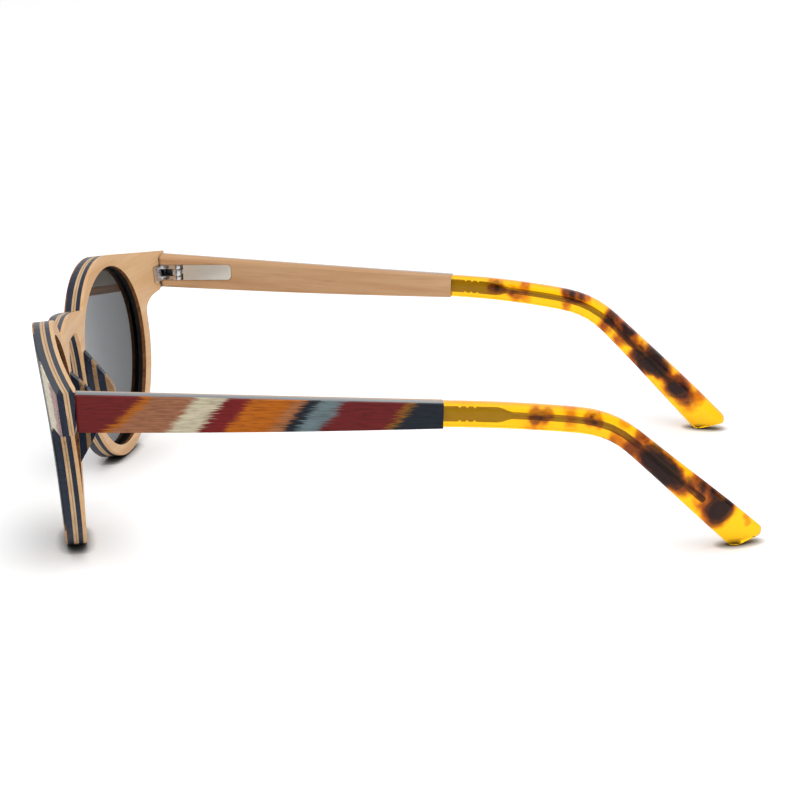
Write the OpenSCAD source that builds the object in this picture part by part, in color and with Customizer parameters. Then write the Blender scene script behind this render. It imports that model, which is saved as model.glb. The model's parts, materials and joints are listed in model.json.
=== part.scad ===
// Wooden sunglasses: a bent laminate front, laminate temples on sprung hinges and acetate tips.
// Millimetres. +X is the wearer's left, +Y runs back along the temples, +Z is up.

/* [Front] */
// Width over the temples at the hinge seam
front_w = 136; // [128:1:150]
// Radius of the front's outside curve
front_curve_r = 190; // [160:5:260]
// Lean of the front, top forward, in degrees
front_lean = 4.85; // [0:0.05:7]
// Distance from the middle of the part forward to the face of the front
front_reach = 72.7; // [60:0.1:90]

/* [Front plies] */
// Thickness of the striped face veneer
face_veneer_t = 0.3; // [0.3:0.1:0.8]
// Thickness of the outer navy ply
outer_ply_t = 1.3; // [1:0.05:1.8]
// Thickness of the maple ply that leaves the lens groove
core_ply_t = 1; // [1:0.05:1.6]
// Thickness of the inner navy ply
inner_ply_t = 0.95; // [0.8:0.05:1.4]
// Thickness of the maple ply at the back
back_ply_t = 0.8; // [0.7:0.05:1.4]

/* [Eyes] */
// Distance between the centres of the two eyes
eye_spacing = 63; // [62:0.2:68]
// Mean radius of the lens opening
eye_r = 20.9; // [19.5:0.1:22]
// How much fuller the upper half of the opening is than the lower
eye_lift = -0.5; // [-0.8:0.05:1.2]
// How much the opening's upper corners are squared
eye_square = 0.55; // [0:0.05:1]
// How much the opening's oval leans, outward at the top
eye_tilt = 0.15; // [0:0.05:1]
// How much the opening's outer low and high corners are drawn out
eye_sweep = 0.65; // [0:0.05:0.8]
// Width of the rim above and below the opening
rim_w = 2.55; // [2.5:0.05:4]
// How much wider the rim is on its outer side, and narrower at the nose
rim_side = 0.4; // [0:0.05:0.5]
// How much wider the rim is at the brow
brow_swell = 0.6; // [0:0.05:0.6]
// Depth of the lens groove
groove_d = 1; // [0.6:0.1:1.6]
// Thickness of the lens
lens_t = 0.9; // [0.8:0.05:0.9]
// Play between the lens and its groove
lens_play = 0.1; // [0.05:0.05:0.2]

/* [Bridge and end pieces] */
// Height of the nose arch above the rims' lowest point
arch_z = 36.8; // [35:0.2:38]
// Height of the bridge bar above the arch, in the middle
bridge_h = 4.7; // [3.5:0.1:6]
// Height of the end pieces' middle above the rims' lowest point
end_z = 36.4; // [35:0.2:38]
// How far the end pieces reach past the temples, above and below
end_over = 0.5; // [0:0.1:1.2]

/* [Nose pads] */
// Height at which the pads begin at the top
pad_top = 31; // [29:0.5:33]
// Height of the pads' thickest point
pad_peak = 21.5; // [19:0.5:24]
// Height at which the pads end at the bottom
pad_bottom = 11.5; // [10:0.5:15]
// Width of a pad across the rim
pad_w = 2; // [1.8:0.1:2]
// Thickness of each navy pad ply
pad_navy_t = 1.6; // [1:0.1:2]
// Thickness of the maple pad ply between them
pad_maple_t = 1; // [0.8:0.1:1.4]
// Thickness of the maple ply that touches the nose
pad_face_t = 1.5; // [1.4:0.1:1.8]

/* [Hinges] */
// Height of the hinge metal
hinge_h = 3.7; // [3.4:0.1:4.4]
// Distance from the seam back to the pivot
pivot_back = 3.8; // [3.8:0.1:5]
// Distance from the temple's inner face out to the pivot
pivot_inset = 1.2; // [1:0.1:1.4]
// Diameter of the pivot screw
pivot_d = 1.2; // [1:0.1:1.4]
// Diameter of the pivot screw's head
pivot_head_d = 2; // [1.8:0.1:2.2]
// Diameter of the knuckles
knuckle_d = 2.8; // [2.4:0.1:3]
// Height of the plunger's eye
eye_h = 1.6; // [1.4:0.1:2]
// Running clearance round the pivot and the stem
run_gap = 0.04; // [0.02:0.01:0.08]
// Side play between the knuckles
side_gap = 0.1; // [0.05:0.05:0.2]
// Distance from the back of the front to the temple's inner front edge
seat_stand = 0.4; // [0.2:0.05:0.6]
// Gap between the front and the temple at the seam
seam_gap = 0.4; // [0.4:0.05:0.8]
// Room beside the temple where its inner front edge swings
seat_side = 0.8; // [0.6:0.1:1.2]
// Play of metal let into wood
inlay_gap = 0.1; // [0.05:0.05:0.15]
// Length of the leaf's plate on the back of the front
leaf_len = 3.2; // [3:0.1:6]
// Thickness of the leaf's plate
leaf_t = 1.1; // [0.9:0.1:1.2]
// How far the leaf's plate stands proud of the wood
leaf_proud = 0.6; // [0:0.1:0.6]
// Width of the leaf's arms
arm_w = 1.9; // [1.6:0.1:2]
// Length of the spring housing
housing_len = 12; // [12:0.5:18]
// How far the housing stands proud of the wood
housing_proud = 0.2; // [0:0.1:0.4]
// Radius of the housing's rear corners
housing_corner_r = 1; // [0.5:0.1:1.4]
// Thickness of the housing's front wall
housing_wall = 1; // [0.8:0.1:1.4]
// Diameter of the plunger's stem
stem_d = 1.2; // [1:0.1:1.3]
// Travel of the temple against the spring
spring_travel = 0.6; // [0.4:0.1:1]
// Thickness of the spring's wire
spring_wire = 0.3; // [0.2:0.05:0.35]
// Turns of the spring
spring_turns = 9; // [6:1:12]
// Thickness of the collar at the stem's end
stop_t = 0.9; // [0.6:0.1:1.2]

/* [Temples] */
// Inward lean of the temples in degrees
temple_toe = 5.8; // [3:0.1:6]
// Fall of the temples towards the tips, in degrees
temple_drop = 3.3; // [2:0.1:5]
// Length of the wood
wood_len = 71.8; // [60:0.2:85]
// Height of the wood at the seam
wood_front_h = 7.4; // [6.5:0.1:9]
// Height of the wood at the tip
wood_rear_h = 5; // [4.2:0.1:6]
// Thickness of the striped outer veneer
wood_veneer_t = 0.5; // [0.3:0.1:0.8]
// Thickness of the navy layer
wood_navy_t = 1.6; // [1.4:0.1:2]
// Thickness of the maple layer
wood_maple_t = 2.2; // [2:0.1:2.6]
// Chamfer on the temple's outer front edge
seam_chamfer = 0.6; // [0.6:0.1:0.8]

/* [Tips] */
// Length of a tip along its curve
tip_len = 75; // [60:1:90]
// Height of a tip at its end
tip_end_h = 7.2; // [5.5:0.1:8]
// Thickness of a tip at its end
tip_end_t = 3.6; // [3:0.1:4.5]
// Gentle fall of a tip before its bend, in degrees
tip_lead = 6; // [4:0.5:12]
// Sharp downward bend of a tip, in degrees
tip_bend = 34; // [20:1:45]
// Distance along the tip to the middle of its bend
tip_bend_at = 34; // [28:1:42]
// Length of the bend
tip_bend_len = 16.6; // [10:0.2:20]
// Inward turn of a tip over its length, in degrees
tip_turn = 17.4; // [10:0.2:28]
// Slant of a tip's end
tip_end_slant = 1.4; // [0:0.1:3]
// Length of the core wire inside the tip
wire_len = 61; // [45:1:68]
// Diameter of the round part of the core wire
wire_d = 1.4; // [1:0.1:1.8]
// Height of the wire's flat tang
tang_h = 3; // [2:0.1:3.4]
// Thickness of the wire's flat tang
tang_t = 0.9; // [0.7:0.1:1.2]
// Length of the tang inside the wood
tang_in_wood = 10; // [6:1:14]
// Length of the tang inside the tip
tang_in_tip = 11; // [9:0.5:14]
// Depth of the tang's notches
notch_d = 0.35; // [0.2:0.05:0.5]
// Play round the core wire
wire_play = 0.05; // [0.03:0.01:0.1]

/* [Hidden] */

$fn = 48;
maple = "#e3bd91";
navy = "#2b3a4f";
veneer_red = "#7a2a28";
metal = "#c9cacc";
smoke = "#6b6f73";
amber = "#d08a1e";

// Smallest step that lets a cut pass its face
over = 1;
// Steps of the curves, in degrees and in counts
arc_step = 6;
blend_steps = 8;
corner_steps = 5;
curve_facets = 720;

// Depths of the front's plies behind its face
outer_d = face_veneer_t;
core_d = outer_d + outer_ply_t;
inner_d = core_d + core_ply_t;
back_d = inner_d + inner_ply_t;
front_t = back_d + back_ply_t;
eye_x = eye_spacing / 2;

// The opening's radius seen from its centre, with 0 degrees outward
function eye_radius(a) = eye_r + eye_lift * sin(a) + eye_tilt * sin(2 * a)
    + eye_square * sin(3 * a) - eye_sweep * cos(3 * a);
function rim(a) = rim_w + rim_side * cos(a);
// Height of the eye's centre, so that the rim's lowest point is at 0
eye_z = max([for (a = [-130:-50]) -(eye_radius(a) + rim(a)) * sin(a)]);
function eye_point(a, grow) = [
    eye_x + (eye_radius(a) + grow) * cos(a),
    eye_z + (eye_radius(a) + grow) * sin(a)
];
function arc_angles(from, to) = let (n = round(abs(to - from) / arc_step))
    [for (i = [0:n]) from + (to - from) * i / n];
function eye_arc(from, to, grow) = [for (a = arc_angles(from, to)) eye_point(a, grow)];
function rim_point(a, grow = 0) = eye_point(a, rim(a) + grow);
function rim_arc(from, to, grow = 0) = [for (a = arc_angles(from, to)) rim_point(a, grow)];

// A curve from p to r that leaves and arrives along the lines to q
function blend(p, q, r) = [for (i = [0:blend_steps]) let (t = i / blend_steps)
    (1 - t) * (1 - t) * p + 2 * t * (1 - t) * q + t * t * r];
// Where the rim's tangent at one angle crosses a height
function rim_run(a) = rim_point(a + 1) - rim_point(a - 1);
function tangent_at(a, z) = let (p = rim_point(a), d = rim_run(a))
    [p.x + d.x * (z - p.y) / d.y, z];

// Depth of the curved surfaces behind the face at the bridge
function bend(x, depth) = front_curve_r - sqrt(pow(front_curve_r - depth, 2) - x * x);

// Temple layers across their thickness, measured outward from the pivot
maple_x = -pivot_inset;
navy_x = maple_x + wood_maple_t;
veneer_x = navy_x + wood_navy_t;
outside_x = veneer_x + wood_veneer_t;
wood_mid_x = (maple_x + outside_x) / 2;
wood_end_y = wood_len - pivot_back;

// Place of the left pivot, so that the temple's inner front edge stands behind the front
pivot_x = front_w / 2 - outside_x * cos(temple_toe) - pivot_back * sin(temple_toe);
seat_x = pivot_x + maple_x * cos(temple_toe) + pivot_back * sin(temple_toe);
front_z = -bend(eye_x, 0) * sin(front_lean);
seat_depth = bend(seat_x, front_t);
seat_y = -front_reach + seat_depth * cos(front_lean) - end_z * sin(front_lean);
seat_z = front_z + seat_depth * sin(front_lean) + end_z * cos(front_lean);
pivot_y = seat_y + seat_stand + (pivot_back * cos(temple_toe) - maple_x * sin(temple_toe)) * cos(temple_drop);
pivot_z = seat_z - pivot_back * sin(temple_drop);
// Slope of the front's back at the seat, against the temple
seat_slope = asin(seat_x / (front_curve_r - front_t)) - temple_toe;

// End piece and bridge heights, and where their blends meet the rim
end_top = end_z + wood_front_h / 2 + end_over;
end_low = end_z - wood_front_h / 2 - end_over;
end_x = front_w / 2 + over;
bridge_top = arch_z + bridge_h;
brow_in_a = 139.5;
brow_out_a = 73;
cheek_a = 8;
nose_a = 178;
cheek_run = 6;
arch_run = 3;

// Hinge sizes that follow from the ones above
arm_h = (hinge_h - eye_h) / 2 - side_gap;
swing_gap = 0.3;
slot_x = knuckle_d / 2 + swing_gap;
housing_y = knuckle_d / 2 + swing_gap;
housing_end_y = housing_y + housing_len;
housing_x = maple_x - housing_proud;
housing_t = slot_x - inlay_gap - housing_x;
bore_skin = 0.45;
bore_d = min(2 * (slot_x - inlay_gap), hinge_h) - 2 * bore_skin;
stop_d = bore_d - 2 * run_gap;
stem_y = (knuckle_d + pivot_d) / 4;
shoulder_y = housing_y + housing_wall;
stop_y = housing_end_y - stop_t - spring_travel - housing_wall;
spring_d = bore_d - 4 * run_gap - spring_wire;
spring_len = stop_y - shoulder_y - spring_travel;

// Tip course: pitch down and yaw in along its length, then points by steps
tip_steps = 30;
tip_step = tip_len / tip_steps;
function ramp(t) = let (u = max(0, min(1, t))) u * u * (3 - 2 * u);
function tip_pitch(s) = s < 0 ? 0 : tip_lead * min(1, s / (tip_bend_at - tip_bend_len / 2))
    + tip_bend * ramp((s - tip_bend_at) / tip_bend_len + 0.5);
function tip_yaw(s) = s < 0 ? 0 : tip_turn * s / tip_len;
function tip_dir(s) = [
    -sin(tip_yaw(s)) * cos(tip_pitch(s)), cos(tip_yaw(s)) * cos(tip_pitch(s)), -sin(tip_pitch(s))
];
function tip_side(s) = [cos(tip_yaw(s)), sin(tip_yaw(s)), 0];
function tip_up(s) = cross(tip_side(s), tip_dir(s));
function tip_grid(i) = i == 0 ? [wood_mid_x, wood_end_y, 0]
    : tip_grid(i - 1) + tip_step * tip_dir((i - 0.5) * tip_step);
tip_course = [for (i = [0:tip_steps]) tip_grid(i)];
function tip_at(s) = let (i = max(0, min(tip_steps - 1, floor(s / tip_step))))
    tip_course[i] + (s - i * tip_step) * tip_dir((i + 0.5) * tip_step);

// A rounded section of a width and a height at s, as points round the course
ring_points = 20;
function soft(v, power) = sign(v) * pow(abs(v), 2 / power);
function ring(s, w, h, power, slant) = [for (i = [0:ring_points - 1]) let (
    a = -360 * i / ring_points,
    u = soft(cos(a), power) * w / 2,
    v = soft(sin(a), power) * h / 2
) tip_at(s) + u * tip_side(s) + v * tip_up(s) + slant * v / h * 2 * tip_dir(s)];

// Faces of a skin over rings, closed at both ends
function strip(a, b, n) = [for (i = [0:n - 1]) let (j = (i + 1) % n)
    each [[a + i, b + i, b + j], [a + i, b + j, a + j]]];
function cap(a, n, turn) = [for (i = [1:n - 2]) turn ? [a, a + i, a + i + 1] : [a, a + i + 1, a + i]];
module skin(rings) {
    n = len(rings[0]);
    m = len(rings);
    faces = concat(
        [for (k = [0:m - 2]) each strip(k * n, (k + 1) * n, n)],
        cap(0, n, true),
        cap((m - 1) * n, n, false)
    );
    polyhedron(points = [for (r = rings) each r], faces = faces);
}

// Tip section along its length, drawn in over its rounded end
tip_round = 1.6;
tip_end_draw = 0.55;
tip_swell_from = 0.48;
tip_slant_from = 0.8;
tip_power = 4;
function tip_late(s, from) = ramp((s / tip_len - from) / (1 - from));
function tip_draw(s) = let (t = max(0, (s - tip_len + tip_round) / tip_round)) sqrt(1 - tip_end_draw * t * t);
function tip_w(s) = let (t = s / tip_len) (outside_x - maple_x) * (1 - t) + tip_end_t * t;
function tip_h(s) = let (t = tip_late(s, tip_swell_from)) wood_rear_h * (1 - t) + tip_end_h * t;

// Places of the tip's sections: its straight part, its bend, its end and the rounding
bend_start = tip_bend_at - tip_bend_len / 2;
bend_end = tip_bend_at + tip_bend_len / 2;
round_start = tip_len - tip_round;
straight_count = 7;
bend_count = 7;
end_count = 4;
tip_places = concat(
    [for (i = [0:straight_count - 1]) bend_start * i / straight_count],
    [for (i = [0:bend_count]) bend_start + tip_bend_len * i / bend_count],
    [for (i = [1:end_count]) bend_end + (round_start - bend_end) * i / end_count],
    [for (t = [0.4, 0.7, 0.9, 1]) round_start + tip_round * t]
);

// Wire section: a flat tang that tapers into a round wire
taper_len = 3;
taper_end = tang_in_tip + taper_len;
taper_count = 3;
wire_count = 16;
function wire_mix(s) = ramp((s - tang_in_tip) / taper_len);
function wire_w(s) = tang_t * (1 - wire_mix(s)) + wire_d * wire_mix(s);
function wire_h(s) = tang_h * (1 - wire_mix(s)) + wire_d * wire_mix(s);
tang_power = 6;
round_power = 2;
function wire_power(s) = tang_power * (1 - wire_mix(s)) + round_power * wire_mix(s);
notch_from = 3;
notch_gap = 1.5;
notch_count = 3;
notch_half = 0.25;
notch_places = [for (i = [0:notch_count - 1]) for (k = [0:2])
    notch_from + (i + k * notch_half) * notch_gap];
function notch_at(s) = let (t = (s - notch_from) / notch_gap)
    t > 0 && t < notch_count && abs(t - floor(t) - notch_half) < notch_half / 2 ? notch_d : 0;
wire_run = concat(
    [for (i = [0:taper_count]) tang_in_tip + taper_len * i / taper_count],
    [for (i = [1:wire_count]) taper_end + (wire_len - taper_end) * i / wire_count]
);
wire_places = concat([-tang_in_wood, 0], notch_places, wire_run);
bore_places = concat([0, tang_in_tip / 2], wire_run);

module in_front() {
    translate([0, -front_reach, front_z]) rotate([front_lean, 0, 0]) children();
}

module in_temple() {
    translate([pivot_x, pivot_y, pivot_z]) rotate([-temple_drop, 0, 0])
        rotate([0, 0, temple_toe]) children();
}

// The hinge stays level while the temple falls
module in_hinge() {
    translate([pivot_x, pivot_y, pivot_z]) rotate([0, 0, temple_toe]) children();
}

module on_side(side) {
    if (side > 0) children();
    else mirror([1, 0, 0]) children();
}

module both_sides() {
    children();
    mirror([1, 0, 0]) children();
}

// The bridge's top falls from its middle to the rim, and the rim swells over the brow
bridge_end = rim_point(brow_in_a);
bridge_steps = 6;
bridge_power = 1.5;
bridge_line = [for (i = [0:bridge_steps - 1]) let (t = i / bridge_steps)
    [bridge_end.x * t, bridge_top - (bridge_top - bridge_end.y) * pow(t, bridge_power)]];
brow_steps = 12;
brow_line = [for (i = [0:brow_steps]) let (t = i / brow_steps)
    rim_point(brow_in_a + (brow_out_a - brow_in_a) * t, brow_swell * sin(180 * t))];

// Front outline, half of it: bridge, brow, end piece, cheek, rim and nose arch
half_outline = concat(
    bridge_line,
    brow_line,
    [[end_x, end_top], [end_x, end_low]],
    blend([end_x - cheek_run, end_low], tangent_at(cheek_a, end_low), rim_point(cheek_a)),
    rim_arc(cheek_a - arc_step, nose_a - 360),
    blend(rim_point(nose_a), tangent_at(nose_a, arch_z), [arch_run, arch_z]),
    [[0, arch_z]]
);
inner_half = [for (i = [1:len(half_outline) - 2]) half_outline[i]];
front_outline = concat(
    half_outline,
    [for (i = [len(inner_half) - 1:-1:0]) [-inner_half[i].x, inner_half[i].y]]
);
front_depth = 60;

// A flat outline drawn through the whole depth of the front
module through_front() {
    translate([0, front_depth - over, 0]) rotate([90, 0, 0]) linear_extrude(front_depth) children();
}

// The space between two depths behind the curved face
module shell(from, to) {
    h = 3 * front_depth;
    translate([0, front_curve_r, -front_depth]) difference() {
        cylinder(r = front_curve_r - from, h = h, $fn = curve_facets);
        translate([0, 0, -over]) cylinder(r = front_curve_r - to, h = h + 2 * over, $fn = curve_facets);
    }
}

module eye_flat(grow) {
    polygon(eye_arc(0, 360 - arc_step, grow));
}

module both_eyes_flat(grow) {
    eye_flat(grow);
    mirror([1, 0]) eye_flat(grow);
}

// Room for the temple's front end behind the seam, and the flush outer end
module seat_cut() {
    room = 2 * wood_front_h;
    in_temple() {
        translate([maple_x - seat_side, -pivot_back - seam_gap, -room / 2]) cube([room, front_depth, room]);
        translate([outside_x, -front_depth / 2, -room / 2]) cube([room, front_depth, room]);
    }
}

module front_ply(from, to, grow) {
    difference() {
        in_front() intersection() {
            shell(from, to);
            through_front() difference() {
                polygon(front_outline);
                both_eyes_flat(grow);
            }
        }
        both_sides() {
            seat_cut();
            in_hinge() leaf_plate(inlay_gap);
        }
    }
}

module face_veneer() {
    color(veneer_red) front_ply(0, outer_d, 0);
}

module outer_navy_ply() {
    color(navy) front_ply(outer_d, core_d, 0);
}

module core_maple_ply() {
    color(maple) front_ply(core_d, inner_d, groove_d);
}

module inner_navy_ply() {
    color(navy) front_ply(inner_d, back_d, 0);
}

module back_maple_ply() {
    color(maple) front_ply(back_d, front_t, 0);
}

module lens(side) {
    from = core_d + (core_ply_t - lens_t) / 2;
    color(smoke) on_side(side) in_front() intersection() {
        shell(from, from + lens_t);
        through_front() eye_flat(groove_d - lens_play);
    }
}

// Nose pad: a bump behind the nasal rim, cut into plies
pad_depth = 2 * pad_navy_t + pad_maple_t + pad_face_t;
pad_back = bend(eye_x - eye_r, front_t);
pad_from_a = 150;
pad_to_a = 222;
pad_out = pad_back + pad_depth;
pad_upper = (pad_top + 3 * pad_peak) / 4;
pad_lower = (pad_bottom + 3 * pad_peak) / 4;
pad_profile = concat(
    [[0, pad_top]],
    blend([pad_back, pad_top], [pad_out, pad_upper], [pad_out, pad_peak]),
    blend([pad_out, pad_peak], [pad_out, pad_lower], [pad_back, pad_bottom]),
    [[0, pad_bottom]]
);

module pad_ply(side, from, to) {
    on_side(side) in_front() intersection() {
        shell(front_t + from, front_t + to);
        through_front() polygon(concat(
            rim_arc(pad_from_a, pad_to_a),
            rim_arc(pad_to_a, pad_from_a, -pad_w)
        ));
        rotate([90, 0, 90]) linear_extrude(eye_x) polygon(pad_profile);
    }
}

module pad_base_navy(side) {
    color(navy) pad_ply(side, 0, pad_navy_t);
}

module pad_base_maple(side) {
    color(maple) pad_ply(side, pad_navy_t, pad_navy_t + pad_maple_t);
}

module pad_top_navy(side) {
    color(navy) pad_ply(side, pad_navy_t + pad_maple_t, pad_depth - pad_face_t);
}

module pad_top_maple(side) {
    color(maple) pad_ply(side, pad_depth - pad_face_t, pad_depth + over);
}

// Leaf plate on the back of the end piece, grown by a play for its recess
module leaf_plate(play) {
    plate_w = leaf_len + arm_w;
    translate([maple_x, -pivot_back - seat_stand, 0])
        rotate([0, 0, -temple_toe]) rotate([front_lean, 0, 0]) rotate([0, 0, temple_toe + seat_slope])
            translate([-leaf_len - play, leaf_proud - leaf_t - play, -hinge_h / 2 - play])
                cube([plate_w + 2 * play, leaf_t + play, hinge_h + 2 * play]);
}

// One knuckle with its arm towards the front
module leaf_arm() {
    reach = pivot_back + seat_stand + leaf_t / 4 - leaf_proud;
    cylinder(d = knuckle_d, h = arm_h);
    translate([maple_x, -reach, 0]) cube([arm_w, reach, arm_h]);
}

head_h = arm_h / 2;

module front_leaf(side) {
    color(metal) on_side(side) in_hinge() difference() {
        union() {
            leaf_plate(0);
            translate([0, 0, hinge_h / 2 - arm_h]) leaf_arm();
            translate([0, 0, -hinge_h / 2]) leaf_arm();
        }
        translate([0, 0, -hinge_h]) cylinder(d = pivot_d + 2 * run_gap, h = 2 * hinge_h);
        translate([0, 0, hinge_h / 2 - head_h]) cylinder(d = pivot_head_d + 2 * run_gap, h = hinge_h);
    }
}

module pivot_screw(side) {
    slot_w = 0.3;
    color(metal) on_side(side) in_hinge() difference() {
        union() {
            translate([0, 0, -hinge_h / 2]) cylinder(d = pivot_d, h = hinge_h - head_h / 2);
            translate([0, 0, hinge_h / 2 - head_h]) cylinder(d = pivot_head_d, h = head_h);
        }
        translate([-pivot_head_d, -slot_w / 2, hinge_h / 2 - head_h / 2])
            cube([2 * pivot_head_d, slot_w, head_h]);
    }
}

module along_temple(y, d, length) {
    translate([0, y, 0]) rotate([-90, 0, 0]) cylinder(d = d, h = length);
}

module plunger(side) {
    color(metal) on_side(side) in_hinge() difference() {
        union() {
            translate([0, 0, -eye_h / 2]) cylinder(d = knuckle_d, h = eye_h);
            along_temple(stem_y, stem_d, stop_y + stop_t - stem_y);
        }
        translate([0, 0, -hinge_h]) cylinder(d = pivot_d + 2 * run_gap, h = 2 * hinge_h);
    }
}

module spring_stop(side) {
    color(metal) on_side(side) in_hinge() difference() {
        along_temple(stop_y, stop_d, stop_t);
        along_temple(stop_y - over, stem_d + run_gap, stop_t + 2 * over);
    }
}

// Coil of round wire round the stem, resting on the collar
module coil_spring(side) {
    sides = 6;
    turn_steps = 12;
    steps = spring_turns * turn_steps;
    rise = (spring_len - spring_wire) / steps;
    rings = [for (i = [0:steps]) let (a = 360 * i / turn_steps) [for (k = [0:sides - 1]) let (
        b = 360 * k / sides,
        r = spring_d / 2 + spring_wire / 2 * cos(b)
    ) [r * cos(a), stop_y - spring_wire / 2 - i * rise + spring_wire / 2 * sin(b), r * sin(a)]]];
    color(metal) on_side(side) in_hinge() skin(rings);
}

// Side view of the housing, with rounded rear corners, grown by a play
function corner(y, z, r, from) = [for (i = [0:corner_steps]) let (a = from + 90 * i / corner_steps)
    [y + r * cos(a), z + r * sin(a)]];
module housing_flat(front_y, play) {
    r = housing_corner_r + play;
    y = housing_end_y - housing_corner_r;
    z = hinge_h / 2 - housing_corner_r;
    polygon(concat(
        [[front_y, -hinge_h / 2 - play]],
        corner(y, -z, r, -90),
        corner(y, z, r, 0),
        [[front_y, hinge_h / 2 + play]]
    ));
}

// A side view drawn across the temple from x over a thickness
module across_temple(x, t) {
    translate([x, 0, 0]) rotate([90, 0, 90]) linear_extrude(t) children();
}

module hinge_housing(side) {
    color(metal) on_side(side) in_hinge() difference() {
        across_temple(housing_x, housing_t) housing_flat(housing_y, 0);
        along_temple(housing_y - over, stem_d + 2 * run_gap, housing_len);
        along_temple(shoulder_y, bore_d, housing_len - 2 * housing_wall);
    }
}

module tang_pocket() {
    w = tang_t + 2 * wire_play;
    h = tang_h + 2 * wire_play;
    translate([wood_mid_x - w / 2, wood_end_y - tang_in_wood - wire_play, -h / 2])
        cube([w, tang_in_wood + over, h]);
}

// One layer of the temple, cut for the hinge, the tang and the seam's chamfer
module temple_layer(side, x, t) {
    on_side(side) difference() {
        in_temple() across_temple(x, t) polygon([
            [-pivot_back, -wood_front_h / 2], [wood_end_y, -wood_rear_h / 2],
            [wood_end_y, wood_rear_h / 2], [-pivot_back, wood_front_h / 2]
        ]);
        in_hinge() across_temple(maple_x - over, slot_x - maple_x + over)
            housing_flat(-pivot_back - over, inlay_gap);
        in_temple() {
            tang_pocket();
            translate([outside_x, -pivot_back, 0]) rotate([0, 0, 45])
                cube([sqrt(2) * seam_chamfer, sqrt(2) * seam_chamfer, 2 * wood_front_h], center = true);
        }
    }
}

module temple_veneer(side) {
    color(veneer_red) temple_layer(side, veneer_x, wood_veneer_t);
}

module temple_navy(side) {
    color(navy) temple_layer(side, navy_x, wood_navy_t);
}

module temple_maple(side) {
    color(maple) temple_layer(side, maple_x, wood_maple_t);
}

module core_wire(side) {
    color(metal) on_side(side) in_temple()
        skin([for (s = wire_places) ring(s, wire_w(s), wire_h(s) - 2 * notch_at(s), wire_power(s), 0)]);
}

// The tip's skin and its wire channel are one closed surface, joined round the channel's mouth
module tip(side) {
    channel = [for (i = [len(bore_places) - 1:-1:0]) let (s = bore_places[i])
        ring(s, wire_w(s) + 2 * wire_play, wire_h(s) + 2 * wire_play, wire_power(s), 0)];
    body = [for (s = tip_places) let (f = tip_draw(s))
        ring(s, tip_w(s) * f, tip_h(s) * f, tip_power, tip_end_slant * tip_late(s, tip_slant_from))];
    color(amber) on_side(side) in_temple() skin(concat(channel, body));
}

face_veneer();
outer_navy_ply();
core_maple_ply();
inner_navy_ply();
back_maple_ply();
lens(1);  // left_lens
lens(-1);  // right_lens
pad_base_navy(1);  // left_pad_base_navy
pad_base_maple(1);  // left_pad_base_maple
pad_top_navy(1);  // left_pad_top_navy
pad_top_maple(1);  // left_pad_top_maple
pad_base_navy(-1);  // right_pad_base_navy
pad_base_maple(-1);  // right_pad_base_maple
pad_top_navy(-1);  // right_pad_top_navy
pad_top_maple(-1);  // right_pad_top_maple
front_leaf(1);  // left_front_leaf
pivot_screw(1);  // left_pivot_screw
plunger(1);  // left_plunger
coil_spring(1);  // left_coil_spring
spring_stop(1);  // left_spring_stop
hinge_housing(1);  // left_hinge_housing
front_leaf(-1);  // right_front_leaf
pivot_screw(-1);  // right_pivot_screw
plunger(-1);  // right_plunger
coil_spring(-1);  // right_coil_spring
spring_stop(-1);  // right_spring_stop
hinge_housing(-1);  // right_hinge_housing
temple_veneer(1);  // left_temple_veneer
temple_navy(1);  // left_temple_navy
temple_maple(1);  // left_temple_maple
core_wire(1);  // left_core_wire
tip(1);  // left_tip
temple_veneer(-1);  // right_temple_veneer
temple_navy(-1);  // right_temple_navy
temple_maple(-1);  // right_temple_maple
core_wire(-1);  // right_core_wire
tip(-1);  // right_tip
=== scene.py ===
import json
import math
import bmesh
import bpy
from mathutils import Matrix, Vector
from mathutils.bvhtree import BVHTree


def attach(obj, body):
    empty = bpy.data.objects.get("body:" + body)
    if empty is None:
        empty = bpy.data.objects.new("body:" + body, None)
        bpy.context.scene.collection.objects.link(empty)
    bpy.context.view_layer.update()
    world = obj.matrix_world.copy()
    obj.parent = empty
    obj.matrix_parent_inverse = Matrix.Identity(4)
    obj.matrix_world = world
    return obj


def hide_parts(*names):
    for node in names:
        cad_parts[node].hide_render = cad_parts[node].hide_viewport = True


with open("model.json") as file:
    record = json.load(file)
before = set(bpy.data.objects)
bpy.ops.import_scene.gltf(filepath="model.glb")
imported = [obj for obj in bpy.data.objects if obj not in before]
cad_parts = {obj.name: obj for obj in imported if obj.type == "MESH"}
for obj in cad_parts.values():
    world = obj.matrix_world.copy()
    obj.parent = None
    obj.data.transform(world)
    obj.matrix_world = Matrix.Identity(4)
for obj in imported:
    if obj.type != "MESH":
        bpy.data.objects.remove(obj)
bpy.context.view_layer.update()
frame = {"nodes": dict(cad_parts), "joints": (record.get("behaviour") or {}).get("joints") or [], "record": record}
nodes = frame["nodes"]
joints = {joint["name"]: joint for joint in frame["joints"]}
bodies = frame["record"]["behaviour"]["bodies"]
bodyOf = {node: body for body, members in bodies.items() for node in members}
slotOf = {part["node"]: part["material_slot"] for part in frame["record"]["subparts"]}
mm = 0.001
middle = 0.5  # of a ramp, and of what a noise gives
print("loaded", len(nodes), "nodes")

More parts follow.
